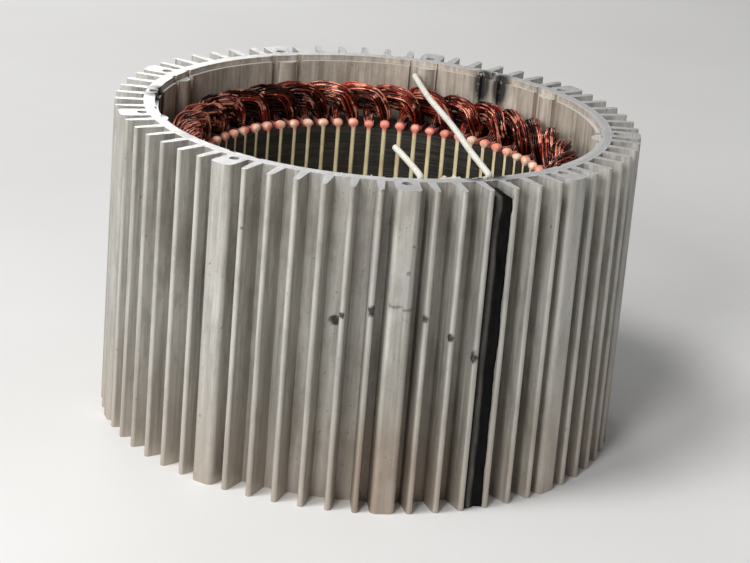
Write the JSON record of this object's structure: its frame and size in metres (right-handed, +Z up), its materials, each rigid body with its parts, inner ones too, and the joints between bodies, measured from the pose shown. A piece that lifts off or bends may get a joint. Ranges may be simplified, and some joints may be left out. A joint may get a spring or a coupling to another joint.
{
  "type": "permanent magnet alternator stator frame",
  "caption": "Round finned aluminium alternator frame in three segments, with the laminated core and red enamelled winding fitted inside, open at both ends, with two lead stubs.",
  "frame": {"origin": "on the bore axis, in the plane of the lower end face that the frame stands on", "axes": "+Z up along the bore; a screw boss lies on +X and a seam on -X"},
  "size_m": [0.3698, 0.3698, 0.225],
  "materials": {
    "frame_aluminium": "extruded, end faces machined bright",
    "key_steel": "plain bar",
    "black_sealant": "black sealant, satin",
    "core_steel": "stacked laminations, varnished",
    "slot_insulation": "pink slot paper",
    "slot_wedge": "cream pressed board",
    "winding_enamel": "red-brown wire enamel",
    "cream_sleeving": "woven sleeving",
    "tie_cord": "waxed cord",
    "lead_sheath": "white braided sheath"
  },
  "bodies": {
    "root": {"frame_segment_1": "frame_aluminium", "frame_segment_2": "frame_aluminium", "frame_segment_3": "frame_aluminium", "seam_key_1": "key_steel", "seam_key_2": "key_steel", "seam_key_3": "key_steel", "seam_sealant_1": "black_sealant", "seam_sealant_2": "black_sealant", "seam_sealant_3": "black_sealant", "stator_core": "core_steel", "slot_liners": "slot_insulation", "slot_wedges": "slot_wedge", "coil_group_1": "winding_enamel", "coil_group_2": "winding_enamel", "coil_group_3": "winding_enamel", "coil_group_4": "winding_enamel", "coil_group_5": "winding_enamel", "coil_group_6": "winding_enamel", "coil_group_7": "winding_enamel", "coil_group_8": "winding_enamel", "coil_group_9": "winding_enamel", "coil_group_10": "winding_enamel", "coil_group_11": "winding_enamel", "lead_sleeve_1": "cream_sleeving", "lead_sleeve_2": "cream_sleeving", "sleeve_ties": "tie_cord", "lead_1": "lead_sheath", "lead_2": "lead_sheath"}
  },
  "joints": []
}
